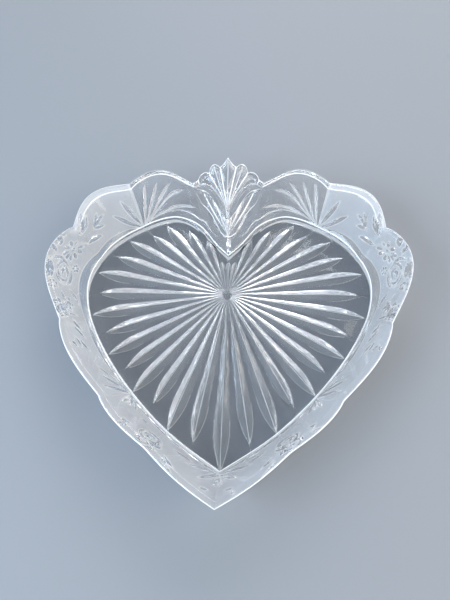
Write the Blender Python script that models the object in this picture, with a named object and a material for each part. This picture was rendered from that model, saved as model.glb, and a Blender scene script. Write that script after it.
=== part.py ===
"""A heart-shaped pressed-glass dish: one moulded piece of glass with no lid, hinge or feet.

The plan is drawn in millimetres from the hub of the sunburst on the floor. +Y runs to the notch
between the two lobes, -Y to the tip, and angles are counted clockwise from +Y. The glass is a
loft of rings: floor, cove, flared wall, lip, outer wall, foot and the sunburst under the floor.
The dish is then moved so that its bounding box stands centred on the origin, on Z = 0.
"""

import math

import bmesh
import bpy
import numpy as np

MM = 0.001

# Right half of the inner floor line, from the notch round the lobe to the tip.
FLOOR_LINE = [
    (0.0, 22.0),
    (8.5, 30.5),
    (14.5, 38.5),
    (24.0, 46.3),
    (36.0, 49.0),
    (53.0, 42.6),
    (71.5, 28.5),
    (81.0, 10.0),
    (80.7, -9.0),
    (72.5, -29.0),
    (54.0, -55.5),
    (28.0, -81.5),
    (0.0, -100.5),
]

# Scallops of the rim, from the collar beside the notch to the tip. Each starts at a cusp:
# the angle of the cusp's foot on the floor line, the cusp, the scallop's bulge beyond its
# chord, and where along the chord the bulge peaks.
SCALLOPS = [
    (21.5, (20.8, 57.9), 9.7, 0.55),
    (51.5, (59.0, 57.5), 10.9, 0.50),
    (75.0, (88.2, 27.5), 13.0, 0.37),
    (108.5, (86.5, -29.5), 3.8, 0.40),
    (141.5, (59.8, -70.0), 2.2, 0.40),
    (163.0, (34.5, -94.5), 1.6, 0.50),
]
TIP = (0.0, -120.2)

# Crest at the notch: half of its pointed middle lobe, two round lobes, and the V-shaped brow
# below them, where the crest leaves the wall. Both end at the collar.
CREST_LINE = [
    (0.0, 67.5),
    (2.3, 65.4),
    (4.7, 64.1),
    (6.5, 65.7),
    (8.7, 66.5),
    (10.6, 65.2),
    (11.3, 63.1),
    (12.8, 63.7),
    (14.9, 63.7),
    (17.0, 62.2),
    (18.2, 59.9),
]
BROW_LINE = [
    (0.0, 40.0),
    (7.2, 51.8),
    (14.0, 57.0),
]
CREST_LOBES = (0.0, 18.0, 33.0)  # degrees from the middle line, seen from the brow's point
LOBE_HALF_ANGLE = 8.0

FLOOR_THICKNESS = 5.0
RIM_HEIGHT = 30.0
LIP_WIDTH = 4.0
CREST_SLOPE = 0.46  # rise of the crest for each millimetre that it is wider than the lip
CREST_RELIEF = 1.0  # height of the ridges on the crest's lobes
EDGE_DROP = 0.5  # how far the lip's inner and outer edges lie below its crown
LIP_THICKNESS = 2.4

# Inner wall: share of the way from the floor line to the lip, and height above the floor.
INNER_WALL = [(0.10, 1.0), (0.24, 4.0), (0.60, 14.2)]
# Outer wall: the same share, the distance outside it, and the height above the table.
OUTER_WALL = [(1.0, 2.2, 25.5), (0.55, 3.4, 13.0), (0.12, 3.9, 2.6)]
# Foot: a flat ring just outside the floor line. Inside it the underside is raised a little.
FOOT_OFFSET = 2.6  # the ring's middle line outside the floor line
FOOT_SHIFT = -1.6  # and the whole ring towards the tip
FOOT_HALF_WIDTH = 0.9
FOOT_HEIGHT = 0.4

# Sunburst: mitre cuts in the underside, their edges and the land between them.
PETALS = 36
PETAL_STATIONS = (-3.0, -1.5, 0.0, 1.5, 3.0, 5.0)  # degrees from each cut's middle line
PETAL_HALF_ANGLE = 3.0
PETAL_DEPTH = 1.8
LAND = 2.0  # from the floor line to the tips of the longest cuts
# Share of the way from the hub, with the depth there of a long cut and of a short one.
PETAL_ROWS = [(1.0, 0.0, 0.0), (0.93, 0.45, 0.0), (0.78, 1.0, 1.0), (0.5, 0.75, 0.75), (0.2, 0.32, 0.32)]
HUB_DEPTH = 0.35

GLASS_COLOUR = (0.86, 0.90, 0.94, 1.0)
GLASS_ROUGHNESS = 0.06
GLASS_IOR = 1.52
SMOOTH_ANGLE = math.radians(24)


def clear_scene():
    for old in list(bpy.data.objects):
        bpy.data.objects.remove(old, do_unlink=True)


def curve_through(points, steps=24):
    """A smooth curve through the points (Catmull-Rom), as an array of plan points."""
    points = [np.array(p) for p in points]
    ends = [2 * points[0] - points[1], *points, 2 * points[-1] - points[-2]]
    curve = []
    for before, start, stop, after in zip(ends, ends[1:], ends[2:], ends[3:]):
        for t in np.arange(steps) / steps:
            pull = (stop - before) * t + (2 * before - 5 * start + 4 * stop - after) * t**2
            pull = pull + (3 * start - before - 3 * stop + after) * t**3
            curve.append(start + pull / 2)
    return np.array([*curve, points[-1]])


def travelled(curve):
    """Distance along a curve to each of its points."""
    return np.concatenate([[0.0], np.cumsum(np.linalg.norm(np.diff(curve, axis=0), axis=1))])


def point_at(curve, distance):
    lengths = travelled(curve)
    return np.array([np.interp(distance, lengths, curve[:, axis]) for axis in (0, 1)])


def unit(vector):
    return vector / np.linalg.norm(vector)


class Plan:
    """The floor line, the lip's inner edge and the rim, at any angle from 0 to 180 degrees."""

    def __init__(self):
        self.floor_curve = curve_through(FLOOR_LINE)
        self.floor_angles = np.degrees(np.arctan2(self.floor_curve[:, 0], self.floor_curve[:, 1]))
        self.floor_lengths = travelled(self.floor_curve)
        self.collar_angle, collar = SCALLOPS[0][:2]
        self.crest_curve = curve_through([*CREST_LINE, collar])
        self.brow_curve = curve_through([*BROW_LINE, self.lip(self.collar_angle)])

    def floor_length(self, angle):
        return np.interp(angle, self.floor_angles, self.floor_lengths)

    def floor(self, angle):
        return point_at(self.floor_curve, self.floor_length(angle))

    def share(self, angle, start, stop):
        """How far along the floor line an angle lies between two others."""
        first, last = self.floor_length(start), self.floor_length(stop)
        return (self.floor_length(angle) - first) / (last - first)

    def rim(self, angle):
        if angle < self.collar_angle:
            return self.under_crest(self.crest_curve, angle)
        stops = [*[(foot, cusp) for foot, cusp, _, _ in SCALLOPS[1:]], (180.0, TIP)]
        for (foot, cusp, bulge, peak), (next_foot, next_cusp) in zip(SCALLOPS, stops):
            if angle <= next_foot:
                start, stop = np.array(cusp), np.array(next_cusp)
                along = self.share(angle, foot, next_foot)
                outward = unit(np.array([start[1] - stop[1], stop[0] - start[0]]))
                skew = math.log(0.5) / math.log(peak)
                return start + (stop - start) * along + outward * bulge * math.sin(math.pi * along**skew)
        raise ValueError(f"no scallop at {angle} degrees")

    def under_crest(self, curve, angle):
        """The point of the crest's outline or brow on the slice at this angle."""
        return point_at(curve, travelled(curve)[-1] * self.share(angle, 0.0, self.collar_angle))

    def lip(self, angle):
        """The lip's inner edge, which is the brow below the crest."""
        if angle < self.collar_angle:
            return self.under_crest(self.brow_curve, angle)
        rim = self.rim(angle)
        return rim + unit(self.floor(angle) - rim) * LIP_WIDTH


def petal_depth(angle, row):
    """Depth of the sunburst at an angle, on one of PETAL_ROWS."""
    pitch = 360 / PETALS
    number = round(angle / pitch)
    _, long_cut, short_cut = PETAL_ROWS[row]
    depth = PETAL_DEPTH * (long_cut if number % 2 == 0 else short_cut)
    return depth * max(0.0, 1 - abs(angle - number * pitch) / PETAL_HALF_ANGLE)


def crest_ridge(point):
    """Relief of the crest: 1 on the middle line of a lobe, 0 in the valleys between lobes."""
    x, y = np.array(point) - BROW_LINE[0]
    bearing = math.degrees(math.atan2(x, y))
    nearest = min(abs(bearing - lobe) for lobe in CREST_LOBES)
    return max(0.0, 1 - nearest / LOBE_HALF_ANGLE)


def section(plan, angle):
    """One slice of the glass: points from the floor line over the rim to the hub's last row."""
    floor, lip, rim = plan.floor(angle), plan.lip(angle), plan.rim(angle)
    outward = unit(rim - floor)
    width = np.linalg.norm(rim - lip)
    rise = CREST_SLOPE * max(0.0, width - LIP_WIDTH)
    middle = (lip + rim) / 2
    ridge = CREST_RELIEF * crest_ridge(middle) if angle < plan.collar_angle else 0.0
    points = [(floor, FLOOR_THICKNESS)]
    for share, height in INNER_WALL:
        points.append((floor + (lip - floor) * share, FLOOR_THICKNESS + height))
    points.append((lip, RIM_HEIGHT - EDGE_DROP))
    points.append((middle, RIM_HEIGHT + rise / 2 + ridge))
    points.append((rim, RIM_HEIGHT - EDGE_DROP + rise))
    points.append((rim - outward * EDGE_DROP, RIM_HEIGHT - LIP_THICKNESS + rise))
    for share, distance, height in OUTER_WALL:
        points.append((floor + (lip - floor) * share + outward * distance, height))
    foot = floor + (0.0, FOOT_SHIFT) + outward * FOOT_OFFSET
    points.append((foot + outward * FOOT_HALF_WIDTH, 0.0))
    points.append((foot - outward * FOOT_HALF_WIDTH, 0.0))
    radius = np.linalg.norm(floor)
    for row, (share, _, _) in enumerate(PETAL_ROWS):
        points.append((floor * (1 - LAND / radius) * share, FOOT_HEIGHT + petal_depth(angle, row)))
    return [(x, y, z) for (x, y), z in points]


def station_angles():
    """Angles of the slices on the right half: the middle and both edges of every cut."""
    pitch = 360 / PETALS
    angles = {pitch * k + offset for k in range(PETALS) for offset in PETAL_STATIONS}
    return sorted(angle for angle in angles if 0 <= angle <= 180)


def glass_material():
    material = bpy.data.materials.new("pressed_glass")
    material.use_nodes = True
    shader = material.node_tree.nodes["Principled BSDF"]
    shader.inputs["Base Color"].default_value = GLASS_COLOUR
    shader.inputs["Roughness"].default_value = GLASS_ROUGHNESS
    shader.inputs["Metallic"].default_value = 0.0
    shader.inputs["Transmission Weight"].default_value = 0.9
    shader.inputs["IOR"].default_value = GLASS_IOR
    return material


def build_dish():
    plan = Plan()
    right = [section(plan, angle) for angle in station_angles()]
    left = [[(-x, y, z) for x, y, z in points] for points in reversed(right[1:-1])]
    slices = right + left
    low, high = np.array(slices).reshape(-1, 3).min(axis=0), np.array(slices).reshape(-1, 3).max(axis=0)
    shift = np.array([(low[0] + high[0]) / 2, (low[1] + high[1]) / 2, low[2]])

    shell = bmesh.new()
    rings = [[shell.verts.new((np.array(p) - shift) * MM) for p in points] for points in slices]
    floor_hub = shell.verts.new((np.array((0.0, 0.0, FLOOR_THICKNESS)) - shift) * MM)
    under_hub = shell.verts.new((np.array((0.0, 0.0, FOOT_HEIGHT + HUB_DEPTH)) - shift) * MM)
    for here, beyond in zip(rings, rings[1:] + rings[:1]):
        shell.faces.new((floor_hub, beyond[0], here[0]))
        shell.faces.new((under_hub, here[-1], beyond[-1]))
        for k in range(len(here) - 1):
            shell.faces.new((here[k], beyond[k], beyond[k + 1], here[k + 1]))
    bmesh.ops.recalc_face_normals(shell, faces=shell.faces)

    mesh = bpy.data.meshes.new("dish")
    shell.to_mesh(mesh)
    shell.free()
    mesh.shade_smooth()
    mesh.set_sharp_from_angle(angle=SMOOTH_ANGLE)
    mesh.materials.append(glass_material())
    dish = bpy.data.objects.new("dish", mesh)
    bpy.context.scene.collection.objects.link(dish)
    return dish


clear_scene()
build_dish()
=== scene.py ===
"""A heart-shaped pressed-glass dish with a frosted, scalloped border: the visual model.

The glass is one closed mesh, drawn in millimetres from the hub of the sunburst on the floor.
+Y runs to the notch between the lobes, -Y to the tip, and angles are counted clockwise from +Y.
Rings of points run from the floor line up the inner wall, over the lip, down the outer wall and
under the floor to the hub. Leaves, flowers and rays are cut into the outer wall.
"""

import math

import bpy
import numpy as np
from mathutils import Matrix, Vector


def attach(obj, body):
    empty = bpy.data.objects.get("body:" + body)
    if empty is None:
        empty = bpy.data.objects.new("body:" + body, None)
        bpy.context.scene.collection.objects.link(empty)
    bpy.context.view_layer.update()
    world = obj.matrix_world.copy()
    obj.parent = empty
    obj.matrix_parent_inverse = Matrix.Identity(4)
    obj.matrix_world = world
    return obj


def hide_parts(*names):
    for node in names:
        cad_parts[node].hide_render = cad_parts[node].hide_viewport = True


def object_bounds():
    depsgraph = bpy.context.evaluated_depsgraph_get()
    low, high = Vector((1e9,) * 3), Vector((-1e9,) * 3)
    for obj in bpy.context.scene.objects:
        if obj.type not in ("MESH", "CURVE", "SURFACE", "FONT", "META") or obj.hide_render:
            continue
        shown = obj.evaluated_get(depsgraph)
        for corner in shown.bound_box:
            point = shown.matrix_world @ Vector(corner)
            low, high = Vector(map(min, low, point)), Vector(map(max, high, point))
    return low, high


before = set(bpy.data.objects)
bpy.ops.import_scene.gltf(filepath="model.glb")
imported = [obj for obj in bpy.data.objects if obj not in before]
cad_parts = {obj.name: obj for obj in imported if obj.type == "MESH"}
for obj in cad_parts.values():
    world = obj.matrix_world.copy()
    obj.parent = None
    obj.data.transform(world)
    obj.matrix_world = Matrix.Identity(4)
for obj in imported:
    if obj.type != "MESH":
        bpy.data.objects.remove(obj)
cad_low, cad_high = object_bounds()

MM = 0.001
HUB_PLACE = 26.35  # of the sunburst's hub, along +Y from the middle of the CAD model, in millimetres

# ---------------------------------------------------------------- driving dimensions, as the CAD

FLOOR_LINE = [
    (0.0, 22.0), (8.5, 30.5), (14.5, 38.5), (24.0, 46.3), (36.0, 49.0), (53.0, 42.6), (71.5, 28.5),
    (81.0, 10.0), (80.7, -9.0), (72.5, -29.0), (54.0, -55.5), (28.0, -81.5), (0.0, -100.5),
]
# Scallops from the collar to the tip: foot angle of the first cusp, cusp, bulge, where it peaks.
SCALLOPS = [
    (21.5, (20.8, 57.9), 9.7, 0.55),
    (51.5, (59.0, 57.5), 10.9, 0.50),
    (75.0, (88.2, 27.5), 13.0, 0.37),
    (108.5, (86.5, -29.5), 3.8, 0.40),
    (141.5, (59.8, -70.0), 2.2, 0.40),
    (163.0, (34.5, -94.5), 1.6, 0.50),
]
TIP = (0.0, -120.2)
# The crest from its tip to the collar: half a pointed lobe, and two round ones.
CREST_LINE = [
    (0.0, 67.5), (2.3, 65.4), (4.7, 64.1), (6.5, 65.7), (8.7, 66.5), (10.6, 65.2), (11.3, 63.1),
    (12.8, 63.7), (14.9, 63.7), (17.0, 62.2), (18.2, 59.9),
]
CREST_TOPS, CREST_VALLEYS = (0, 4, 8), (2, 6, 10)  # points of the crest line
BROW_LINE = [(0.0, 40.0), (7.2, 51.8), (14.0, 57.0)]
COLLAR, CLEAR_END, FLOWER_START, FLOWER_END, STAR, ROSE = (scallop[0] for scallop in SCALLOPS)

FLOOR_THICKNESS = 5.0
RIM_HEIGHT = 30.0
LIP_WIDTH = 4.0
CREST_SLOPE = 0.46
EDGE_DROP = 0.5
LIP_THICKNESS = 2.4
INNER_WALL = [(0.10, 1.0), (0.24, 4.0), (0.60, 14.2)]
OUTER_WALL = [(1.0, 2.2, 25.5), (0.55, 3.4, 13.0), (0.12, 3.9, 2.6)]
FOOT_OFFSET = 2.6  # the foot ring's middle line runs this far outside the floor line
FOOT_SHIFT = -1.6  # and as a whole sits this far towards the tip
FOOT_HALF_WIDTH = 0.9
FOOT_HEIGHT = 0.4
PETALS = 36

# ---------------------------------------------------------------- what the CAD leaves out

# Two fields on the mesh, in millimetres, draw fine edges: `border` is the distance inside frosted
# glass, and `line` the distance outside a painted highlight line. Both are held within FAR.
FAR = 3.0
# Values of `border` on clear glass, in the rays and petals, on the lip, and on the foot ring,
# which is frosted and painted white there as a highlight line.
CLEAR, HAZY, LIP_HAZE, FOOT_HIGHLIGHT_BORDER = -0.12, -0.088, -0.07, 0.28
# Half-widths of the painted highlight lines: along the rays and the long stem below them, at the wings'
# lower edge and on other edges, on the wings' ribs, between the crest's lobes and along their
# middles, and along the middle and the edges of the petals.
RAY_LINE, STEM_LINE = 0.85, 0.45
WING_LINE, EDGE_LINE, RIB_LINE = 1.3, 0.42, 0.35
VALLEY_LINE, LOBE_LINE = 0.4, 0.25
PETAL_LINE, PETAL_EDGE_LINE = 0.24, 0.18
NARROW_PETAL = 1.5  # a petal's middle line is thinner where its half-width is less than this

# Width of the flat lip at angles from the notch. It is widest on the first frosted scallop.
LIP_WIDTHS = [
    (0.0, 4.0), (21.5, 3.2), (48.0, 3.2), (54.0, 5.0), (71.0, 5.0), (78.0, 3.2), (180.0, 3.6),
]
LIP_LINE_FADE = 3.0  # degrees over which the line on the lip's inner edge fades out

# The ribbed wings below the brow: their lower and upper edges, as (angle, share of the wall).
WING_FOOT = [
    (0, 0.43), (6, 0.36), (11, 0.34), (15.5, 0.42), (18.3, 0.50), (20.1, 0.6), (21.5, 0.9),
    (30, 0.55), (180, 0.5),
]
WING_TOP = [
    (0, 0.75), (11, 0.75), (15.5, 0.80), (18.3, 0.87), (20, 0.92), (21.5, 0.97), (30, 0.8),
    (180, 0.8),
]
WING_CENTRE = 30.0  # the ribs fan out from this far along +Y
WING_LIFT = 0.9
WING_RIBS = (0.0, 8.0, 16.0, 24.0, 32.0)  # degrees from the middle line
RIB_HALF_ANGLE = 3.5
RIB_LIFT, WING_GROUND = 0.6, 0.1  # heights of the ribs and of the ground between, for a border of 1
WING_BORDER = 0.75  # where the border starts, from 0 at the wing's middle to 1 at its edges
RIB_FULL_AT = 14.0  # the ribs' lines are thinner nearer to the centre than this
WING_END = 1.0  # degrees that the wings run past the collar, fading out
BROW_BEAD = 0.7
BEAD_FADE = 2.0  # degrees before the collar in which the brow's bead ends

# The scoops in the crest's lobes, by share of the way out from the brow's point.
SCOOP_DEPTH = 1.7
SCOOP_FULL, SCOOP_CLOSING, SCOOP_CLOSED = 0.3, 0.84, 0.94
COLLAR_SCOOP = [(0.95, 0.6), (1.0, 0.0)]  # its depth at shares of the outline, beside the collar
BEND_POWER, BEAD_POWER = 4, 30  # how fast the brow's bend and its bead die away into the lobes

FOOT_BEVEL = 0.5
OUTER_TOP_SHARE = 1.12  # of the wall's height, from the foot ring up to the lip's underside

HUB = (0.0, -1.6)  # where the petals meet, under the floor
HUB_DEPTH = 0.12
PETAL_MARGINS = (0.4, 4.6)  # gaps between the floor line and the tips of long and short petals
CUT_SLOPE = math.tan(math.radians(35))
CUT_FILLET = 0.1  # radius at the bottom of a petal's cut, as a share of its half-width
PETAL_HALF_WIDTH, PETAL_REACH = 4.5, 100.0  # half the greatest width of a petal of this reach
PETAL_WIDEST_AT = 0.78
PETAL_SCALING = 0.6  # the greatest width grows by this power of the reach
PETAL_OPENING, PETAL_CLOSING = 0.8, 2.2  # powers of the widening and of the narrowing
PETAL_SECTOR = 0.98  # near the hub a petal fills this share of its sector
LEAST_HALF_WIDTH = 0.05
SUNBURST_MARGIN = 0.5  # between the floor line and the sunburst's outer row
PETAL_ROWS = (1.0, 0.985, 0.965, 0.94, 0.91, 0.88, 0.84, 0.8, 0.74, 0.64, 0.5, 0.36, 0.22, 0.1, 0.04)

RING_GAP = 1.2  # between the floor line and the painted highlight line round the floor
EDGE_HIGHLIGHT, LINE_HIGHLIGHT = 0.9, 0.95  # how strongly white highlights are painted on the edges of frosting and along the lines

# Clear bands beside the floor: start and end angle, greatest share of the wall, and fullness.
CLEAR_BANDS = ((CLEAR_END, STAR, 0.30, 0.55), (STAR, 180.0, 0.22, 0.6))
WALL_SLANT = 8.0  # the wall's length along its slope beyond its width in plan
RAY_MARGIN = 1.2  # a cut is a ray where `line` is at most this much above the distance to its edge

# A rose's strokes: where each starts and how far it winds, in radians, and its size.
ROSE_STROKES = [
    (0.3, 3.6, 0.22), (2.6, 3.0, 0.48), (5.2, 2.8, 0.66), (1.4, 2.4, 0.84), (3.9, 2.2, 0.96),
    (6.0, 1.7, 1.0),
]
ROSE_STROKE_WIDTH = 1.9

# ---------------------------------------------------------------- resolution of the fine mesh

CREST_STEPS = 54
WALL_STEP = 0.32  # degrees between slices of the wall
COARSE_EVERY = 4  # the smooth inner wall takes one slice in so many
FINE_PAST_COLLAR = 12  # but every slice of the wings, and so many past the collar
BELOW_ROWS, WING_ROWS, FACET_ROWS = 9, 16, 6
LIP_SHARES = [0.0, 0.07, 0.16, 0.28, 0.5, 0.72, 0.86, 0.95, 1.0]
OUTER_ROWS = 54
CURVE_STEPS = 32  # of a curve between two of its points
LEAF_STEPS, BENT_LEAF_STEPS = 140, 40  # of a straight leaf, and between two points of a bent one
ROSE_STEPS, BLOSSOM_STEPS, DOT_STEPS = 40, 24, 12
CUT_STATIONS = (-1.0, -0.95, -0.85, -0.16, -0.08, 0.0, 0.08, 0.16, 0.85, 0.95, 1.0)
LAND_STATIONS = (0.15, 0.6, 1.0, 1.4, 1.85)  # across the land between two petals; 2 is the next one
SHARP_ANGLE = math.radians(48)


def curve_through(points, steps=CURVE_STEPS):
    """A smooth curve through the points (Catmull-Rom); each may be an array of many points."""
    points = [np.array(p, float) for p in points]
    ends = [2 * points[0] - points[1], *points, 2 * points[-1] - points[-2]]
    curve = []
    for before, start, stop, after in zip(ends, ends[1:], ends[2:], ends[3:]):
        for t in np.arange(steps) / steps:
            pull = (stop - before) * t + (2 * before - 5 * start + 4 * stop - after) * t**2
            pull = pull + (3 * start - before - 3 * stop + after) * t**3
            curve.append(start + pull / 2)
    return np.array([*curve, points[-1]])


def travelled(curve):
    return np.concatenate([[0.0], np.cumsum(np.linalg.norm(np.diff(curve, axis=0), axis=1))])


def point_at(curve, share):
    """Points at shares of a curve's length."""
    lengths = travelled(curve)
    return np.stack([np.interp(share * lengths[-1], lengths, axis) for axis in curve.T], axis=-1)


def unit(vectors):
    return vectors / np.linalg.norm(vectors, axis=-1, keepdims=True)


def ease(value):
    """0 below 0, 1 above 1, and smooth between."""
    value = np.clip(value, 0.0, 1.0)
    return value * value * (3 - 2 * value)


class Plan:
    """The floor line, the lip's inner edge and the rim, at angles from 0 to 180 degrees."""

    def __init__(self):
        self.floor_curve = curve_through(FLOOR_LINE)
        self.floor_angles = np.degrees(np.arctan2(self.floor_curve[:, 0], self.floor_curve[:, 1]))
        self.floor_lengths = travelled(self.floor_curve)
        collar = SCALLOPS[0][1]
        self.crest_curve = curve_through([*CREST_LINE, collar])
        self.brow_curve = curve_through([*BROW_LINE, self.lip(np.array([COLLAR]))[0]])

    def floor(self, angles):
        lengths = np.interp(angles, self.floor_angles, self.floor_lengths)
        return point_at(self.floor_curve, lengths / self.floor_lengths[-1])

    def share(self, angles, start, stop):
        """How far along the floor line angles lie between two others."""
        lengths = np.interp([start, stop], self.floor_angles, self.floor_lengths)
        here = np.interp(angles, self.floor_angles, self.floor_lengths)
        return (here - lengths[0]) / (lengths[1] - lengths[0])

    def rim(self, angles):
        points = np.zeros((len(angles), 2))
        crest = angles < COLLAR
        if crest.any():
            points[crest] = point_at(self.crest_curve, self.share(angles[crest], 0.0, COLLAR))
        stops = [*[(foot, cusp) for foot, cusp, _, _ in SCALLOPS[1:]], (180.0, TIP)]
        for (foot, cusp, bulge, peak), (next_foot, next_cusp) in zip(SCALLOPS, stops):
            here = (angles >= foot) & (angles <= next_foot)
            start, stop = np.array(cusp), np.array(next_cusp)
            along = np.clip(self.share(angles[here], foot, next_foot), 0, 1)[:, None]
            outward = unit(np.array([start[1] - stop[1], stop[0] - start[0]]))
            skew = math.log(0.5) / math.log(peak)
            points[here] = start + (stop - start) * along + outward * bulge * np.sin(np.pi * along**skew)
        return points

    def lip(self, angles):
        rim = self.rim(angles)
        widths = np.interp(angles, *zip(*LIP_WIDTHS))[:, None]
        points = rim + unit(self.floor(angles) - rim) * widths
        crest = angles < COLLAR
        if crest.any():
            points[crest] = point_at(self.brow_curve, self.share(angles[crest], 0.0, COLLAR))
        return points


plan = Plan()


def lifted(points, height):
    """Plan points with a height, which may be one number or one for each point."""
    return np.concatenate([points, np.broadcast_to(height, len(points))[:, None]], axis=1)


def along_rows(knots, knot_shares, shares):
    """Points at shares of the smooth curves through rows of knots: one row for each row of shares."""
    curves = curve_through(knots)
    places = np.interp(shares, knot_shares, np.arange(len(knots)) * CURVE_STEPS)
    low = np.minimum(places.astype(int), len(curves) - 2)
    part = (places - low)[..., None]
    columns = np.broadcast_to(np.arange(shares.shape[1]), shares.shape)
    return curves[low, columns] * (1 - part) + curves[low + 1, columns] * part


def row_normals(rows):
    """Unit normals of a sheet of rows."""
    down = np.gradient(rows, axis=0)
    on = np.gradient(rows, axis=1)
    return unit(np.cross(down, on))


def on_mirror(rows):
    """The rows with their first and last points exactly on the mirror plane."""
    rows[:, (0, -1), 0] = 0.0
    return rows


def wall_stations():
    """Angles of the wall's slices, with one on every crease."""
    creases = [foot for foot, _, _, _ in SCALLOPS] + [180.0]
    angles = [np.linspace(0.0, creases[0], CREST_STEPS + 1)]
    for start, stop in zip(creases, creases[1:]):
        angles.append(np.linspace(start, stop, math.ceil((stop - start) / WALL_STEP) + 1)[1:])
    return np.concatenate(angles)


# ---------------------------------------------------------------- the wall's sheets


class Wall:
    """The right half of the inner wall, lip and outer wall, as rows of points."""

    def __init__(self):
        self.angles = wall_stations()
        self.floor = plan.floor(self.angles)
        self.lip = plan.lip(self.angles)
        self.rim = plan.rim(self.angles)
        self.outward = unit(self.rim - self.floor)
        width = np.linalg.norm(self.rim - self.lip, axis=1)
        self.rise = CREST_SLOPE * np.maximum(0.0, width - LIP_WIDTH) * (self.angles < COLLAR)
        self.bead = BROW_BEAD * ease((COLLAR - self.angles) / BEAD_FADE)
        self.inner = self.make_inner()
        self.top = self.make_top()
        self.outer, self.outer_shares = self.make_outer()

    def make_inner(self):
        knots = [lifted(self.floor, FLOOR_THICKNESS)]
        for share, height in INNER_WALL:
            knots.append(lifted(self.floor + (self.lip - self.floor) * share, FLOOR_THICKNESS + height))
        knots.append(lifted(self.lip, RIM_HEIGHT - EDGE_DROP))
        knot_shares = [0.0, *[share for share, _ in INNER_WALL], 1.0]
        wing_foot = np.interp(self.angles, *zip(*WING_FOOT))
        wing_top = np.interp(self.angles, *zip(*WING_TOP))
        shares = [wing_foot * t for t in np.linspace(0, 1, BELOW_ROWS)]
        shares += [wing_foot + (wing_top - wing_foot) * t for t in np.linspace(0.06, 0.95, WING_ROWS)]
        shares += [wing_top + (1 - wing_top) * t for t in np.linspace(0, 1, FACET_ROWS)]
        rows = along_rows(knots, knot_shares, np.array(shares))
        return self.raise_wings(rows)

    def raise_wings(self, rows):
        """Lifts the ribbed wings off the wall below the brow, and sets `line`, the painted highlight
        lines, on the inner wall.
        """
        wing = slice(BELOW_ROWS, BELOW_ROWS + WING_ROWS)
        x, y = rows[wing, :, 0], rows[wing, :, 1] - WING_CENTRE
        bearing = np.degrees(np.arctan2(x, np.maximum(y, 0.01)))
        nearest = np.min([np.abs(bearing - rib) for rib in WING_RIBS], axis=0)
        ribs = np.clip(1 - nearest / RIB_HALF_ANGLE, 0, 1)
        across = np.linspace(-1, 1, WING_ROWS)[:, None]
        border = ease((np.abs(across) - WING_BORDER) / 0.2) * np.ones_like(ribs)
        fade = ease((COLLAR + WING_END - self.angles) / 1.5)
        lift = WING_LIFT * np.maximum(WING_GROUND + RIB_LIFT * ribs, border) * fade
        lifted_rows = rows.copy()
        lifted_rows[wing] += row_normals(rows)[wing] * lift[..., None]
        lifted_rows[-1, :, 2] += self.bead

        line = np.full(rows.shape[:2], FAR)
        from_centre = np.hypot(x, y)
        rib_line = RIB_LINE * np.clip(from_centre / RIB_FULL_AT, 0.2, 1)
        line[wing] = np.radians(nearest) * from_centre - rib_line
        line[BELOW_ROWS] = -WING_LINE
        line[BELOW_ROWS + WING_ROWS - 1] = -EDGE_LINE
        line += 2 * FAR * (1 - fade)
        # A painted highlight line round the floor, where the wall rises from it.
        line[:3] = np.array([RING_GAP, 0, RING_GAP])[:, None] - EDGE_LINE
        line[-1] = self.inner_edge_line()
        self.inner_line = line.clip(-FAR, FAR)
        return on_mirror(lifted_rows)

    def inner_edge_line(self):
        """Values of `line` on the lip's inner edge: a painted highlight line from the notch to the
        widest scallop.
        """
        return -EDGE_LINE + 2 * FAR * ease((self.angles - FLOWER_START) / LIP_LINE_FADE + 1)

    def make_top(self):
        """The flat lip, with small rounded edges."""
        rows = []
        for share in LIP_SHARES:
            crown = EDGE_DROP * (1 - abs(2 * share - 1) ** 3)
            points = self.lip + (self.rim - self.lip) * share
            rows.append(lifted(points, RIM_HEIGHT - EDGE_DROP + crown + self.rise * share))
        rows = np.array(rows)
        rows[0, :, 2] += self.bead
        return rows

    def top_fields(self):
        """Values of `border` and `line` on the lip, which is hazy on the first frosted scallop and has
        painted highlight lines along its edges.
        """
        reach = np.linalg.norm(self.rim, axis=1)
        inside = np.minimum(self.angles - CLEAR_END, FLOWER_START - self.angles)
        frosted = np.radians(inside) * reach
        width = np.linalg.norm(self.rim - self.lip, axis=1)
        shares = np.array(LIP_SHARES)[:, None]
        line = np.minimum(shares * width + self.inner_edge_line(), (1 - shares) * width - EDGE_LINE)
        border = np.broadcast_to(frosted, line.shape)
        return border.clip(-FAR, LIP_HAZE), line.clip(-FAR, FAR)

    def make_outer(self):
        knots = [lifted(self.rim - self.outward * EDGE_DROP, RIM_HEIGHT - LIP_THICKNESS + self.rise)]
        for share, distance, height in OUTER_WALL:
            points = self.floor + (self.lip - self.floor) * share + self.outward * distance
            knots.append(lifted(points, height))
        knots.append(lifted(self.foot(FOOT_HALF_WIDTH + FOOT_BEVEL), FOOT_BEVEL))
        middle_shares = [OUTER_TOP_SHARE - share for share, _, _ in OUTER_WALL]
        knot_shares = [0.0, *middle_shares, OUTER_TOP_SHARE]
        shares = np.linspace(0.0, OUTER_TOP_SHARE, OUTER_ROWS)
        rows = along_rows(knots, knot_shares, np.tile(shares[:, None], len(self.angles)))
        return rows, OUTER_TOP_SHARE - shares

    def foot(self, offset):
        """The foot ring's middle line, moved outwards by an offset."""
        return self.floor + (0.0, FOOT_SHIFT) + self.outward * (FOOT_OFFSET + offset)


wall = Wall()

# ---------------------------------------------------------------- cuts in the outer wall


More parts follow.
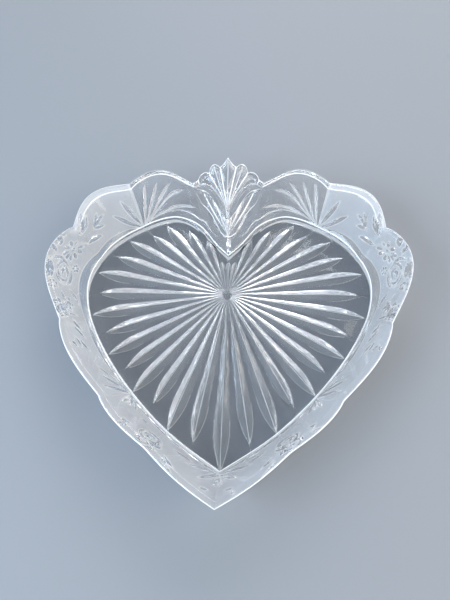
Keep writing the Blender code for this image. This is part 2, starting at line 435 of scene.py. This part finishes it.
class Relief:
    """Cuts in a sheet of rows: the depth at each point, and its distances outside cuts and painted
    highlight lines.
    """

    def __init__(self, rows, shares):
        self.rows = rows
        self.shares = shares
        self.depth = np.zeros(rows.shape[:2])
        self.gap = np.full(rows.shape[:2], FAR)
        self.line = np.full(rows.shape[:2], FAR)

    def spot(self, angle, share):
        """The point of the sheet at an angle and a share of the wall's height."""
        row = np.interp(-share, -self.shares, np.arange(len(self.shares)))
        column = np.interp(angle, wall.angles, np.arange(len(wall.angles)))
        r, c = min(int(row), len(self.shares) - 2), min(int(column), len(wall.angles) - 2)
        y, x = row - r, column - c
        top = self.rows[r, c] * (1 - x) + self.rows[r, c + 1] * x
        low = self.rows[r + 1, c] * (1 - x) + self.rows[r + 1, c + 1] * x
        return top * (1 - y) + low * y

    def path(self, *spots):
        """Points along the wall on a smooth curve through spots, each an (angle, share)."""
        curve = curve_through(spots, LEAF_STEPS if len(spots) == 2 else BENT_LEAF_STEPS)
        return np.array([self.spot(angle, share) for angle, share in curve])

    def cut(self, path, width, depth, blunt=0.35, line=0.0):
        """A mitre cut along a path, widest at a share `blunt` of its length and pointed at both ends.

        Where `line` isn't 0, it is the half-width of a painted highlight line along the middle of the
        cut.
        """
        t = np.linspace(0, 1, len(path))
        opening, closing = t / blunt, (t - blunt) / (1 - blunt)
        lens = np.where(t < blunt, np.sin(np.pi / 2 * opening), np.cos(np.pi / 2 * closing))
        half = np.maximum(width / 2 * np.maximum(lens, 0) ** 0.8, 0.02)
        low, high = path.min(axis=0) - width - 1, path.max(axis=0) + width + 1
        near = ((self.rows >= low) & (self.rows <= high)).all(axis=2)
        points = self.rows[near]
        if not len(points):
            return
        gaps = np.linalg.norm(points[:, None] - path[None], axis=2)
        best = gaps.argmin(axis=1)
        gap, room = gaps[np.arange(len(points)), best], half[best]
        fullness = room / (width / 2)
        depths = depth * fullness * np.clip(1 - gap / room, 0, 1)
        self.depth[near] = np.maximum(self.depth[near], depths)
        self.gap[near] = np.minimum(self.gap[near], gap - room)
        if line:
            self.line[near] = np.minimum(self.line[near], gap - line * fullness**0.5)

    def leaf(self, *spots, width=2.0, depth=1.2, blunt=0.45, line=0.0):
        self.cut(self.path(*spots), width, depth, blunt, line)

    def frame_at(self, angle, share):
        """Centre, direction along the wall and direction up the wall."""
        centre = self.spot(angle, share)
        on = unit(self.spot(angle + 0.5, share) - self.spot(angle - 0.5, share))
        up = self.spot(angle, share + 0.02) - self.spot(angle, share - 0.02)
        up = unit(up - on * np.dot(up, on))
        return centre, on, up

    def blossom(self, angle, share, petals, inner, outer, width, depth=1.0, stretch=1.0):
        """A flower, stretched along the wall: petals from an inner to an outer radius, and a dot."""
        centre, on, up = self.frame_at(angle, share)
        on = on * stretch
        for k in range(petals):
            turn = 2 * np.pi * k / petals
            ray = on * math.cos(turn) + up * math.sin(turn)
            petal = centre + ray * np.linspace(inner, outer, BLOSSOM_STEPS)[:, None]
            self.cut(petal, width, depth, blunt=0.6)
        dot = centre + on * np.linspace(-inner / 2, inner / 2, DOT_STEPS)[:, None]
        self.cut(dot, inner, depth, blunt=0.5)

    def rose(self, angle, share, along, high, depth=1.1):
        """A rose seen from the side: strokes that wind outwards round a bud."""
        centre, on, up = self.frame_at(angle, share)
        for start, sweep, size in ROSE_STROKES:
            turn = start + np.linspace(0, sweep, ROSE_STEPS)
            ring = centre + on * (np.cos(turn) * size * along / 2)[:, None]
            ring = ring + up * (np.sin(turn) * size * high / 2)[:, None]
            self.cut(ring, ROSE_STROKE_WIDTH, depth, blunt=0.5)


def cut_fan(relief):
    """The fan of rays in the clear scallop, with two leaves across in the frosted one."""
    base = (51.3, 0.06)
    # The rays and the stem carry painted highlight lines along their middles.
    for tip in ((45.3, 0.93), (39.0, 0.86), (31.0, 0.88), (25.0, 0.84)):
        relief.leaf(base, tip, width=3.4, depth=1.4, blunt=0.72, line=RAY_LINE)
    relief.leaf(
        (50.8, 0.05), (44.2, 0.17), (37.8, 0.25), (28.2, 0.42), (21.1, 0.61),
        width=3.4, depth=1.4, blunt=0.6, line=RAY_LINE,
    )
    relief.leaf(
        (42.0, 0.14), (33.0, 0.26), (26.9, 0.33), (20.7, 0.34), (16.5, 0.24), (9.0, 0.30),
        width=1.5, line=STEM_LINE,
    )
    relief.leaf((52.4, 0.16), (55.9, 0.80), width=2.6, depth=1.2, blunt=0.6)
    relief.leaf((52.6, 0.06), (60.7, 0.57), width=2.6, depth=1.2, blunt=0.6)


def cut_sprigs(relief):
    """Leaves at the far end of the first frosted scallop."""
    for tip in ((65.6, 0.80), (63.6, 0.69), (65.6, 0.52)):
        relief.leaf((70.2, 0.68), tip, width=2.3)
    relief.leaf((74.9, 0.94), (69.9, 1.05), width=3.4, depth=1.1)
    relief.leaf((75.0, 0.90), (71.6, 0.87), (69.5, 0.98), width=1.6)
    relief.leaf((75.2, 0.67), (69.0, 0.42), width=3.0, depth=1.0)


def cut_flowers(relief):
    """A daisy, a rose and their leaves in the widest scallop."""
    relief.blossom(78.6, 0.70, 10, 1.9, 6.0, 2.3, stretch=1.6)
    relief.blossom(84.0, 0.45, 6, 0.8, 2.7, 1.5)
    relief.rose(88.3, 0.69, 17.0, 12.0)
    relief.leaf((85.6, 1.03), (83.4, 0.80), (85.2, 0.56), width=1.5)
    relief.leaf((86.3, 1.01), (93.0, 1.01), width=4.6, depth=1.2, blunt=0.5)
    relief.leaf((77.8, 1.05), (80.2, 0.98), width=2.8)
    relief.leaf((80.8, 1.07), (82.8, 0.96), width=1.8)
    relief.blossom(95.1, 0.96, 6, 0.8, 2.8, 1.5)
    for k, tip in enumerate(((97.0, 0.80), (98.2, 0.62), (101.0, 0.54), (103.6, 0.66), (104.0, 0.82))):
        relief.leaf((100.5, 0.76), tip, width=2.0 + 0.3 * (k % 2))
    relief.leaf((94.3, 0.56), (96.5, 0.44), (99.2, 0.38), width=2.2)
    relief.leaf((101.6, 1.12), (101.8, 0.88), width=3.0)
    relief.leaf((102.8, 1.02), (107.0, 0.88), width=5.0, depth=1.2, blunt=0.5)
    relief.leaf((107.4, 1.00), (105.6, 0.82), (104.8, 0.55), width=1.3)


def cut_sides(relief):
    """Leaves on the side scallops, the star at their foot, and the tip's star."""
    relief.leaf((107.5, 0.76), (110.4, 0.53), width=1.8)
    relief.leaf((109.5, 0.74), (113.8, 0.50), width=1.6)
    relief.leaf((115.0, 0.68), (120.3, 0.54), width=1.6)
    relief.leaf((114.6, 0.76), (118.6, 0.70), width=1.6)
    relief.leaf((116.6, 0.92), (118.8, 0.82), width=2.0)
    star = (141.2, 0.03)
    for tip in ((127.9, 0.57), (132.3, 0.68), (137.7, 0.85)):
        relief.leaf(star, tip, width=2.2, depth=1.1, blunt=0.6)
    for tip in ((144.7, 0.61), (146.8, 0.47), (149.2, 0.37)):
        relief.leaf((142.0, 0.06), tip, width=2.2, blunt=0.65)
    relief.leaf((151.6, 0.95), (154.4, 0.86), width=1.6)
    relief.leaf((153.2, 0.42), (155.4, 0.38), width=1.5)
    relief.rose(161.0, 0.76, 14.0, 12.0)
    relief.leaf((166.6, 0.44), (172.0, 0.34), width=2.0)
    relief.leaf((166.5, 0.87), (170.2, 0.99), width=1.4)
    for tip in ((171.0, 0.52), (175.0, 0.66)):
        relief.leaf((179.6, 0.06), tip, width=2.2, depth=1.1, blunt=0.6)
    for tip in ((178.4, 0.60), (180.0, 0.72)):
        relief.leaf((179.8, 0.12), tip, width=1.8, blunt=0.65)
    relief.leaf((176.2, 0.90), (177.8, 0.78), width=1.6)


def band_top(angles):
    """Share of the wall's height up to which the glass beside the floor stays clear."""
    top = np.zeros_like(angles)
    for start, stop, height, fullness in CLEAR_BANDS:
        inside = (angles >= start) & (angles <= stop)
        t = (angles[inside] - start) / (stop - start)
        top[inside] = height * np.sin(np.pi * t) ** fullness
    return top


def frosted_border(angles, shares):
    """Distance inside the frosted border, in millimetres, by angle and share of the wall's height."""
    angle, share = np.meshgrid(angles, shares)
    reach = np.linalg.norm(wall.rim, axis=1)[None, :]
    from_clear_scallop = np.radians(angle - CLEAR_END) * reach
    wall_height = np.linalg.norm(wall.rim - wall.floor, axis=1)[None, :] + WALL_SLANT
    above_band = (share - band_top(angles)[None, :]) * wall_height
    return np.minimum(from_clear_scallop, above_band)


relief = Relief(wall.outer, wall.outer_shares)
cut_fan(relief)
cut_sprigs(relief)
cut_flowers(relief)
cut_sides(relief)
outer_border = np.minimum(frosted_border(wall.angles, wall.outer_shares), relief.gap).clip(-FAR, FAR)
in_ray = (relief.line < relief.gap + RAY_MARGIN) & (relief.gap < 0)
outer_border[in_ray] = np.maximum(outer_border[in_ray], HAZY)
outer_line = relief.line.clip(-FAR, FAR)
outer_rows = on_mirror(wall.outer - row_normals(wall.outer) * relief.depth[..., None])

# ---------------------------------------------------------------- the crest


def crest_sheet():
    """A fan of scooped lobes from the brow's point to the crest's outline.

    Returns rows of points, each further out, with their values of `border` and `line`;
    `line` paints highlight lines round the outline, between the lobes and along their middles.
    """
    crest = wall.angles <= COLLAR
    outline = wall.top[-1, crest]
    edge = np.concatenate([wall.top[0, crest], wall.top[1:, crest.sum() - 1]])
    out = travelled(edge) / travelled(edge)[-1]
    along = plan.share(wall.angles[crest], 0.0, COLLAR)
    point = edge[0]
    bend = edge - point - (edge[-1] - point) * out[:, None]
    bent, beaded = along**BEND_POWER, along**BEAD_POWER
    rows = point + (outline - point) * out[:, None, None] + bend[:, None] * bent[None, :, None]

    lengths = travelled(plan.crest_curve) / travelled(plan.crest_curve)[-1]
    tops = [lengths[CURVE_STEPS * k] for k in CREST_TOPS]
    valleys = [lengths[CURVE_STEPS * k] for k in CREST_VALLEYS]
    marks = [*[(top, 1.0) for top in tops], *[(valley, 0.0) for valley in valleys]]
    hollow = np.interp(along, *zip(*sorted([*marks, *COLLAR_SCOOP])))
    scoop = ease(out / SCOOP_FULL) * (1 - ease((out - SCOOP_CLOSING) / (SCOOP_CLOSED - SCOOP_CLOSING)))
    rows[..., 2] -= SCOOP_DEPTH * hollow[None, :] * scoop[:, None]
    on_lobes = (out < 0.9)[1:-1, None]
    rows[1:-1, :, 2] += wall.bead[crest].max() * (beaded - bent)[None, :] * on_lobes

    reach = np.linalg.norm(outline - point, axis=1)
    around = travelled(outline)
    line = (1 - out)[:, None] * reach - EDGE_LINE
    for marks, half_width in ((valleys, VALLEY_LINE), (tops, LOBE_LINE)):
        for mark in marks:
            away = np.abs(around - np.interp(mark, along, around))
            line = np.minimum(line, out[:, None] * away - half_width * ease(out / 0.25)[:, None])
    line[:, -1] = np.minimum(line[:, -1], -EDGE_LINE)
    return rows, np.full(line.shape, -FAR), line.clip(-FAR, FAR)


# ---------------------------------------------------------------- the sunburst under the floor


def petal_half_width(radius, reach):
    """Half the width of a petal at a radius: it fills its sector near the hub and ends in a point."""
    u = np.clip(radius / reach, 0, 1)
    widest = PETAL_HALF_WIDTH * (reach / PETAL_REACH) ** PETAL_SCALING
    opening = widest * (u / PETAL_WIDEST_AT) ** PETAL_OPENING
    past_widest = np.maximum(u - PETAL_WIDEST_AT, 0) / (1 - PETAL_WIDEST_AT)
    closing = widest * (1 - past_widest**PETAL_CLOSING)
    sector = PETAL_SECTOR * radius * math.tan(math.pi / PETALS)
    return np.maximum(np.minimum(np.minimum(opening, closing), sector), LEAST_HALF_WIDTH)


def under_floor():
    """The underside of the right half, from the foot ring's inner edge to the hub.

    Returns rows of points, with their values of `border` and `line`; `line` paints highlight lines
    along the petals' middles and, near their tips, their edges.
    """
    pitch = 360 / PETALS
    stations = []
    for number in range(PETALS // 2 + 1):
        stations += [(number, place, 0.0) for place in CUT_STATIONS]
        stations += [(number, 1.0, place) for place in LAND_STATIONS]
    stations = [s for s in stations if s[0] > 0 or s[1] >= 0]
    stations = [s for s in stations if s[0] < PETALS // 2 or (s[1] <= 0 and s[2] == 0)]
    numbers, fractions, lands = np.array(stations).T
    on_land = lands > 0
    middle = numbers * pitch
    following = np.minimum(numbers + 1, PETALS // 2)

    def reach(petals):
        """Length of petals: every second one stops short."""
        edge = plan.floor(petals * pitch) + (0.0, FOOT_SHIFT)
        margins = np.where(petals % 2 == 0, *PETAL_MARGINS)
        return np.linalg.norm(edge - HUB, axis=1) - margins

    length, next_length = reach(numbers), reach(following)
    even = np.arange(len(stations)) * 180.0 / (len(stations) - 1)
    edge = plan.floor(even) + (0.0, FOOT_SHIFT) + unit(plan.rim(even) - plan.floor(even)) * FOOT_OFFSET
    inward = unit(HUB - edge)
    ring = [
        lifted(edge + inward * FOOT_HALF_WIDTH, 0.0),
        lifted(edge + inward * (FOOT_HALF_WIDTH + FOOT_BEVEL), FOOT_HEIGHT),
    ]
    haze = np.where(on_land | (np.abs(fractions) == 1), CLEAR, HAZY)
    # The foot ring's flat underside is frosted and painted white as a highlight line.
    borders = [np.full(len(stations), FOOT_HIGHLIGHT_BORDER), np.full(len(stations), CLEAR)]
    lines = [np.full(len(stations), FAR)] * 2

    rays = np.radians(np.where(on_land, middle + pitch * lands / 2, middle))
    ray_edge = plan.floor(np.degrees(rays).clip(0, 180)) + (0.0, FOOT_SHIFT)
    ray_reach = np.linalg.norm(ray_edge - HUB, axis=1) + SUNBURST_MARGIN
    for share in PETAL_ROWS:
        radius = ray_reach * share
        own = petal_half_width(radius, length)
        own_angle = np.degrees(own / radius)
        next_angle = np.degrees(petal_half_width(radius, next_length) / radius)
        t = lands / 2
        across = own_angle * (1 - t) + (pitch - next_angle) * t
        angle = middle + np.where(on_land, across, own_angle * fractions)
        below_edge = math.hypot(1, CUT_FILLET) - np.hypot(fractions, CUT_FILLET)
        depth = np.where(on_land, 0.0, own * CUT_SLOPE * below_edge).clip(0)
        turn = np.radians(angle)
        points = np.stack([radius * np.sin(turn), radius * np.cos(turn)], axis=1) + HUB
        ring.append(lifted(points, FOOT_HEIGHT + depth))
        borders.append(haze)
        # Painted highlight lines along a petal's middle and, near its tip, its edges.
        from_middle = own * np.abs(fractions) - PETAL_LINE * np.minimum(1, own / NARROW_PETAL)
        near_tip = ease((radius / length - 0.45) / 0.3)
        from_edge = own * (1 - np.abs(fractions)) + FAR * (1 - near_tip) - PETAL_EDGE_LINE
        past_tip = own < 2 * LEAST_HALF_WIDTH
        lines.append(np.where(on_land | past_tip, FAR, np.minimum(from_middle, from_edge)))
    return np.array(ring), np.array(borders), np.array(lines)


# ---------------------------------------------------------------- joining the sheets into one mesh


class Glass:
    """Sheets of the right half that meet edge to edge, mirrored and welded into one closed mesh."""

    def __init__(self):
        self.points, self.border, self.line, self.faces = [], [], [], []

    def row(self, points, border=-FAR, line=FAR):
        """Adds points and returns their numbers."""
        first = len(self.points)
        self.points.extend(points)
        self.border.extend(np.broadcast_to(border, len(points)))
        self.line.extend(np.broadcast_to(line, len(points)))
        return np.arange(first, len(self.points))

    def sheet(self, rows, borders=None, lines=None):
        """Adds rows of points with quads between them; returns the rows' numbers."""
        borders = np.full(rows.shape[:2], -FAR) if borders is None else borders
        lines = np.full(rows.shape[:2], FAR) if lines is None else lines
        numbers = [self.row(*row) for row in zip(rows, borders, lines)]
        for upper, lower in zip(numbers, numbers[1:]):
            self.strip(upper, lower)
        return numbers

    def strip(self, upper, lower):
        quads = np.stack([upper[:-1], upper[1:], lower[1:], lower[:-1]], axis=1)
        self.faces.extend(quads.tolist())

    def widening(self, fine, coarse, places, turned=False):
        """Polygons between a fine row and a coarse one; places are the coarse points in the fine row."""
        for k, (start, stop) in enumerate(zip(places, places[1:])):
            ring = [*fine[start:stop + 1], coarse[k + 1], coarse[k]]
            self.faces.append(ring[::-1] if turned else ring)

    def fan(self, row, hub, turned=False):
        """Triangles from a row of points to one point."""
        number = self.row([np.array(hub)])[0]
        for here, beyond in zip(row, row[1:]):
            self.faces.append([beyond, here, number] if turned else [here, beyond, number])

    def mesh(self, name):
        points = np.array(self.points)
        count = len(points)
        points = np.concatenate([points, points * (-1, 1, 1)])
        places = np.round(points, 4) + 0.0
        _, first, welded = np.unique(places, axis=0, return_index=True, return_inverse=True)
        welded = welded.ravel()
        faces = []
        for face in self.faces:
            for numbers in (face, [number + count for number in reversed(face)]):
                ring = [int(welded[number]) for number in numbers]
                ring = [point for k, point in enumerate(ring) if point != ring[k - 1]]
                if len(ring) > 2:
                    faces.append(ring)
        hub = np.array((0.0, HUB_PLACE * MM, cad_low.z))
        mesh = bpy.data.meshes.new(name)
        mesh.from_pydata((points[first] * MM + hub).tolist(), [], faces)
        for field, values in (("border", self.border), ("line", self.line)):
            attribute = mesh.attributes.new(field, "FLOAT", "POINT")
            attribute.data.foreach_set("value", np.tile(values, 2)[first].astype(np.float32))
        return mesh


def build_glass():
    glass = Glass()
    stations = len(wall.angles)
    all_stations = np.arange(stations)
    thinned = (all_stations - CREST_STEPS) % COARSE_EVERY == 0
    coarse = all_stations[thinned | (all_stations <= CREST_STEPS + FINE_PAST_COLLAR)]
    creases = np.searchsorted(wall.angles, (CLEAR_END, FLOWER_START, FLOWER_END, STAR, ROSE))
    coarse = np.unique([*coarse, *creases, stations - 1])

    inner = glass.sheet(wall.inner[:-1, coarse], lines=wall.inner_line[:-1, coarse])
    glass.fan(inner[0], (*HUB, FLOOR_THICKNESS), turned=True)
    edge_border, edge_line = (field[0] for field in wall.top_fields())
    glass.widening(glass.row(wall.inner[-1], edge_border, edge_line), inner[-1], coarse, turned=True)
    glass.sheet(wall.top[:, CREST_STEPS:], *(field[:, CREST_STEPS:] for field in wall.top_fields()))
    glass.sheet(*crest_sheet())

    outer = glass.sheet(outer_rows, outer_border, outer_line)
    glass.strip(glass.row(wall.top[-1]), outer[0])
    # The foot ring's flat underside: frosted and painted white as a highlight line.
    foot = glass.row(lifted(wall.foot(FOOT_HALF_WIDTH), 0.0), FOOT_HIGHLIGHT_BORDER)
    glass.strip(outer[-1], foot)
    under = glass.sheet(*under_floor())
    places = np.round(np.linspace(0, stations - 1, len(under[0]))).astype(int)
    glass.widening(foot, under[0], places)
    glass.fan(under[-1], (*HUB, FOOT_HEIGHT + HUB_DEPTH))

    mesh = glass.mesh("dish_glass")
    mesh.shade_smooth()
    mesh.set_sharp_from_angle(angle=SHARP_ANGLE)
    dish = bpy.data.objects.new("dish_glass", mesh)
    bpy.context.scene.collection.objects.link(dish)
    return dish


# ---------------------------------------------------------------- material


GLASS_IOR = 1.52
# Clear, frosted and ground glass.
# Clear glass, frosted glass, and the painted white highlights on edges and lines.
ROUGHNESS = (0.02, 0.62, 0.35)
TRANSMISSION = (1.0, 0.1, 0.1)
CLEAR_COLOUR = (0.985, 0.992, 1.0, 1.0)
FROSTED_COLOURS = ((0.74, 0.76, 0.79, 1.0), (0.80, 0.82, 0.85, 1.0))  # it is mottled between them
# The white of the painted highlights.
HIGHLIGHT_COLOUR = (1.0, 1.0, 1.0, 1.0)
FROST_STARTS = (-0.12, 0.12)  # values of `border` between which clear glass turns frosted
HIGHLIGHT_EDGE_ENDS = (0.45, 0.95)  # and between which the painted highlight along its edge fades out
LINE_ENDS = (-0.18, 0.12)  # values of `line` between which a painted highlight line fades out
SWIRL_SCALE, SWIRL_DETAIL, SWIRL_ROUGHNESS = 60.0, 2.0, 0.03
GRAIN_SCALE, GRAIN_DETAIL, GRAIN_HEIGHT = 900.0, 4.0, 0.00008
GRAIN_STRENGTH = (0.03, 0.5)  # on clear and on frosted glass


def glass_material():
    """Clear pressed glass, acid-frosted on the border, with painted white highlights round every cut and
    along the lines.
    """
    material = bpy.data.materials.new("pressed_glass")
    material.use_nodes = True
    tree = material.node_tree
    shader = tree.nodes["Principled BSDF"]
    shader.inputs["IOR"].default_value = GLASS_IOR
    shader.inputs["Metallic"].default_value = 0.0
    place = tree.nodes.new("ShaderNodeTexCoord")

    def link(value, socket):
        """Puts a number, a colour or another node's output into a socket."""
        if isinstance(value, bpy.types.NodeSocket):
            tree.links.new(value, socket)
        else:
            socket.default_value = value

    def noise(scale, detail):
        node = tree.nodes.new("ShaderNodeTexNoise")
        node.inputs["Scale"].default_value = scale
        node.inputs["Detail"].default_value = detail
        tree.links.new(place.outputs["Object"], node.inputs["Vector"])
        return node.outputs["Fac"]

    def field(name):
        node = tree.nodes.new("ShaderNodeAttribute")
        node.attribute_name = name
        return node.outputs["Fac"]

    def smooth(value, start, stop, low=0.0, high=1.0):
        """Goes smoothly from low to high while the value goes from start to stop."""
        node = tree.nodes.new("ShaderNodeMapRange")
        node.interpolation_type = "SMOOTHSTEP"
        for name, number in (("From Min", start), ("From Max", stop), ("To Min", low), ("To Max", high)):
            node.inputs[name].default_value = number
        tree.links.new(value, node.inputs["Value"])
        return node.outputs["Result"]

    def math_node(operation, *values):
        node = tree.nodes.new("ShaderNodeMath")
        node.operation = operation
        for value, socket in zip(values, node.inputs):
            link(value, socket)
        return node.outputs["Value"]

    def mix(factor, first, second, kind="FLOAT"):
        node = tree.nodes.new("ShaderNodeMix")
        node.data_type = kind
        sockets = [socket for socket in node.inputs if socket.enabled]
        for value, socket in zip((factor, first, second), sockets):
            link(value, socket)
        return next(socket for socket in node.outputs if socket.enabled)

    border, line = field("border"), field("line")
    frost = smooth(border, *FROST_STARTS)
    # Painted highlights: the edges of frosting and the lines are mixed towards white.
    edge = math_node("MULTIPLY", frost, smooth(border, *HIGHLIGHT_EDGE_ENDS, EDGE_HIGHLIGHT, 0.0))
    painted_highlight = math_node("MAXIMUM", edge, smooth(line, *LINE_ENDS, LINE_HIGHLIGHT, 0.0))

    def finish(clear, frosted, at_edge, kind="FLOAT"):
        """Clear, frosted or painted white as a highlight, by the two fields."""
        return mix(painted_highlight, mix(frost, clear, frosted, kind), at_edge, kind)

    swirl = noise(SWIRL_SCALE, SWIRL_DETAIL)
    roughness = math_node("MULTIPLY_ADD", swirl, SWIRL_ROUGHNESS, finish(*ROUGHNESS))
    tree.links.new(roughness, shader.inputs["Roughness"])
    tree.links.new(finish(*TRANSMISSION), shader.inputs["Transmission Weight"])
    frosted = mix(swirl, *FROSTED_COLOURS, "RGBA")
    colour = finish(CLEAR_COLOUR, frosted, HIGHLIGHT_COLOUR, "RGBA")
    tree.links.new(colour, shader.inputs["Base Color"])

    bump = tree.nodes.new("ShaderNodeBump")
    bump.inputs["Distance"].default_value = GRAIN_HEIGHT
    tree.links.new(mix(frost, *GRAIN_STRENGTH), bump.inputs["Strength"])
    tree.links.new(noise(GRAIN_SCALE, GRAIN_DETAIL), bump.inputs["Height"])
    tree.links.new(bump.outputs["Normal"], shader.inputs["Normal"])
    return material


dish = build_glass()
dish.data.materials.append(glass_material())
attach(dish, "root")
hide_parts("dish")

# ---------------------------------------------------------------- floor, light and camera


FLOOR_SIZE = 6.0
FLOOR_GAP = 0.0002  # between the floor and the foot ring
FLOOR_COLOUR = (0.245, 0.262, 0.285, 1.0)
FLOOR_ROUGHNESS = 0.7

# Softboxes: name, azimuth, elevation, distance, size, watts and colour.
SOFTBOXES = [
    ("sky_left", -65, 40, 0.9, (0.7, 0.45), 8.0, (0.68, 0.84, 1.0)),
    ("warm_right", 70, 40, 0.9, (0.9, 0.7), 6.6, (1.0, 0.92, 0.80)),
    ("back", 170, 33, 1.0, (0.9, 0.35), 5.5, (1.0, 1.0, 1.0)),
]
# The world's colours by height: pale at the horizon and dimmer overhead.
SKY = [(0.0, (0.50, 0.51, 0.53, 1.0)), (0.35, (0.38, 0.41, 0.46, 1.0)), (0.9, (0.10, 0.12, 0.16, 1.0))]
SKY_STRENGTH = 2.1

# The camera looks down on the dish from the tip's side, turned a little to the right. Tilt is
# from straight down, in degrees. The distance is in metres, the aim in millimetres from the hub.
CAMERA_TILT = 24.5
CAMERA_AZIMUTH = 9.5
CAMERA_ROLL = -8.0
CAMERA_DISTANCE = 0.3076
CAMERA_AIM = (-1.3, -4.1)
FOCAL_SHARE = 0.870  # focal length over the picture's height


def direction(azimuth, elevation):
    """From the dish towards a place seen at these angles, in degrees."""
    a, e = math.radians(azimuth), math.radians(elevation)
    return Vector((math.sin(a) * math.cos(e), -math.cos(a) * math.cos(e), math.sin(e)))


def add_floor():
    material = bpy.data.materials.new("pale_floor")
    material.use_nodes = True
    shader = material.node_tree.nodes["Principled BSDF"]
    shader.inputs["Roughness"].default_value = FLOOR_ROUGHNESS
    shader.inputs["Base Color"].default_value = FLOOR_COLOUR
    bpy.ops.mesh.primitive_plane_add(size=FLOOR_SIZE, location=(0, 0, cad_low.z - FLOOR_GAP))
    floor = bpy.context.object
    floor.name = "floor"
    floor.data.materials.append(material)


def add_softbox(name, azimuth, elevation, distance, size, watts, colour):
    """A large soft area light aimed at the dish."""
    data = bpy.data.lights.new(name, "AREA")
    data.shape = "RECTANGLE"
    data.size, data.size_y = size
    data.energy = watts
    data.color = colour
    light = bpy.data.objects.new(name, data)
    back = direction(azimuth, elevation)
    light.location = back * distance
    light.rotation_euler = (-back).to_track_quat("-Z", "Y").to_euler()
    bpy.context.scene.collection.objects.link(light)


def add_world():
    """A graded grey world, so that the cuts have light and dark to show."""
    world = bpy.data.worlds.new("studio")
    bpy.context.scene.world = world
    world.use_nodes = True
    tree = world.node_tree
    background = tree.nodes["Background"]
    place = tree.nodes.new("ShaderNodeTexCoord")
    split = tree.nodes.new("ShaderNodeSeparateXYZ")
    ramp = tree.nodes.new("ShaderNodeValToRGB")
    elements = ramp.color_ramp.elements
    elements.new(SKY[1][0])
    for element, (height, colour) in zip(elements, SKY):
        element.position = height
        element.color = colour
    tree.links.new(place.outputs["Generated"], split.inputs["Vector"])
    tree.links.new(split.outputs["Z"], ramp.inputs["Fac"])
    tree.links.new(ramp.outputs["Color"], background.inputs["Color"])
    background.inputs["Strength"].default_value = SKY_STRENGTH


def add_camera():
    data = bpy.data.cameras.new("camera")
    data.lens = data.sensor_width * FOCAL_SHARE
    data.clip_start, data.clip_end = 0.01, 50.0
    camera = bpy.data.objects.new("camera", data)
    bpy.context.scene.collection.objects.link(camera)
    back = direction(CAMERA_AZIMUTH, 90 - CAMERA_TILT)
    right = direction(CAMERA_AZIMUTH + 90, 0)
    up = back.cross(right)
    turn = Matrix((right, up, back)).transposed() @ Matrix.Rotation(math.radians(CAMERA_ROLL), 3, "Z")
    aim = Vector((CAMERA_AIM[0] * MM, (CAMERA_AIM[1] + HUB_PLACE) * MM, 0))
    camera.matrix_world = Matrix.Translation(aim + back * CAMERA_DISTANCE) @ turn.to_4x4()
    bpy.context.scene.camera = camera


def allow_deep_glass():
    """Enough bounces for light to pass through several walls of glass."""
    scene = bpy.context.scene
    scene.cycles.max_bounces = 24
    scene.cycles.transmission_bounces = 20
    scene.cycles.glossy_bounces = 12
    scene.cycles.diffuse_bounces = 6
    scene.cycles.caustics_refractive = True
    scene.cycles.caustics_reflective = True
    scene.view_settings.view_transform = "Standard"


add_floor()
for softbox in SOFTBOXES:
    add_softbox(*softbox)
add_world()
add_camera()
allow_deep_glass()
